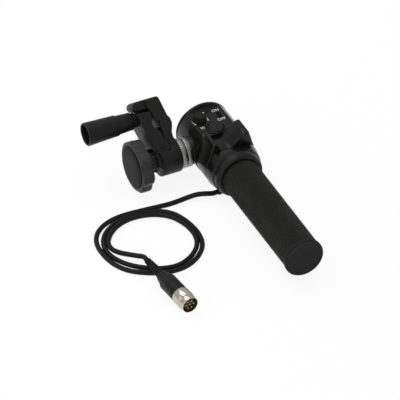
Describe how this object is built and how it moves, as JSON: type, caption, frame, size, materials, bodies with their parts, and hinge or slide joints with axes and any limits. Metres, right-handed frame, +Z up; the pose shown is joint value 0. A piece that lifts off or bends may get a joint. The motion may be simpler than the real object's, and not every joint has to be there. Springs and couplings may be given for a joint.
{
  "type": "zoom demand",
  "caption": "Pistol-style zoom control: a rubber grip with a thumb rocker and a round head with dial, switch and button, on a swivelling bar clamp, with a coiled plug cable.",
  "frame": {"origin": "on the table under the middle of the object without its cord", "axes": "+Z up; +Y along the grip from its end cap towards the head; +X towards the side of the head away from the clamp"},
  "size_m": [0.1668, 0.2176, 0.0721],
  "materials": {
    "gloss_black": "gloss",
    "satin_black": "satin",
    "black_rubber": "matte",
    "clamp_paint": "satin",
    "bright_steel": "polished",
    "dark_steel": "satin",
    "brass": "satin",
    "aluminium": "satin",
    "board": "matte",
    "grey_plastic": "matte",
    "nickel": "polished"
  },
  "bodies": {
    "head": {"head_casing": "gloss_black", "back_cover": "gloss_black", "cover_screw_1": "dark_steel", "cover_screw_2": "dark_steel", "cover_screw_3": "dark_steel", "control_panel": "gloss_black", "dial_potentiometer": "grey_plastic", "switch_body": "grey_plastic", "button_bezel": "satin_black", "button_switch": "grey_plastic", "circuit_board": "board", "board_chip": "satin_black", "journal_tube": "aluminium", "zoom_potentiometer": "grey_plastic", "centring_spring": "dark_steel", "front_ring": "gloss_black", "grip_collar": "satin_black", "grip_tube": "aluminium", "grip_sleeve": "black_rubber", "end_cap": "satin_black", "swivel_stud": "bright_steel", "stud_nut": "bright_steel", "head_rosette": "bright_steel", "cable_gland": "black_rubber", "cord": "black_rubber", "plug_boot": "black_rubber", "plug_neck": "satin_black", "plug_shell": "satin_black", "contact_body": "satin_black", "contact_pin_1": "brass", "contact_pin_2": "brass", "contact_pin_3": "brass", "contact_pin_4": "brass", "contact_pin_5": "brass", "contact_pin_6": "brass", "contact_pin_7": "brass"},
    "speed_dial": {"speed_dial": "satin_black", "dial_shaft": "dark_steel"},
    "slide_switch": {"slide_switch": "satin_black"},
    "push_button": {"push_button": "satin_black"},
    "thumb_rocker": {"thumb_rocker": "satin_black", "drive_arm": "dark_steel", "pot_shaft": "dark_steel"},
    "clamp": {"clamp_body": "clamp_paint", "clamp_rosette": "bright_steel", "jaw_hinge_pin": "bright_steel"},
    "star_knob": {"star_knob": "satin_black", "star_knob_insert": "brass", "star_knob_washer": "bright_steel", "star_knob_cap": "satin_black"},
    "moving_jaw": {"moving_jaw": "clamp_paint"},
    "thrust_washer": {"thrust_washer": "bright_steel"},
    "clamp_knob": {"clamp_knob": "satin_black", "clamp_screw": "bright_steel"},
    "coupling_ring": {"coupling_ring": "nickel"}
  },
  "joints": [
    {"name": "clamp_swivel", "type": "hinge", "parent": "head", "child": "clamp", "pos_m": [0.0428, 0.0654, 0.0242], "axis": [1, 0, 0], "range_deg": [-50, 125]},
    {"name": "star_knob_turn", "type": "hinge", "parent": "clamp", "child": "star_knob", "pos_m": [0.0428, 0.0654, 0.0242], "axis": [1, 0, 0], "continuous": true},
    {"name": "screw_travel", "type": "slide", "parent": "clamp", "child": "thrust_washer", "axis": [-1, 0, 0], "range_m": [0, 0.009]},
    {"name": "clamp_knob_turn", "type": "hinge", "parent": "thrust_washer", "child": "clamp_knob", "pos_m": [0.0428, 0.09007, 0.0531], "axis": [-1, 0, 0], "range_deg": [0, 1440]},
    {"name": "moving_jaw_open", "type": "hinge", "parent": "clamp", "child": "moving_jaw", "pos_m": [-0.0078, 0.07176, 0.03165], "axis": [0, -0.7604, 0.6494], "range_deg": [0, 16]},
    {"name": "thumb_rock", "type": "hinge", "parent": "head", "child": "thumb_rocker", "pos_m": [0.0428, 0.0425, 0.0242], "axis": [0, 1, 0], "range_deg": [-20, 20], "stiffness_Nm_per_rad": 0.05},
    {"name": "dial_turn", "type": "hinge", "parent": "head", "child": "speed_dial", "pos_m": [0.034, 0.0771, 0.044], "axis": [0, 0, 1], "range_deg": [-135, 135]},
    {"name": "button_press", "type": "slide", "parent": "head", "child": "push_button", "axis": [0, 0, -1], "range_m": [0, 0.001], "stiffness_N_per_m": 40, "springref_m": -0.004},
    {"name": "switch_slide", "type": "slide", "parent": "head", "child": "slide_switch", "axis": [0, 1, 0], "range_m": [0, 0.002]},
    {"name": "coupling_ring_turn", "type": "hinge", "parent": "head", "child": "coupling_ring", "pos_m": [-0.0692, -0.0356, 0.0083], "axis": [0.0941, -0.9956, 0], "continuous": true}
  ],
  "couplings": [
    {"joint": "clamp_knob_turn", "follows": "screw_travel", "rad_per_m": 2792.5},
    {"joint": "moving_jaw_open", "follows": "screw_travel", "rad_per_m": 31.028}
  ]
}
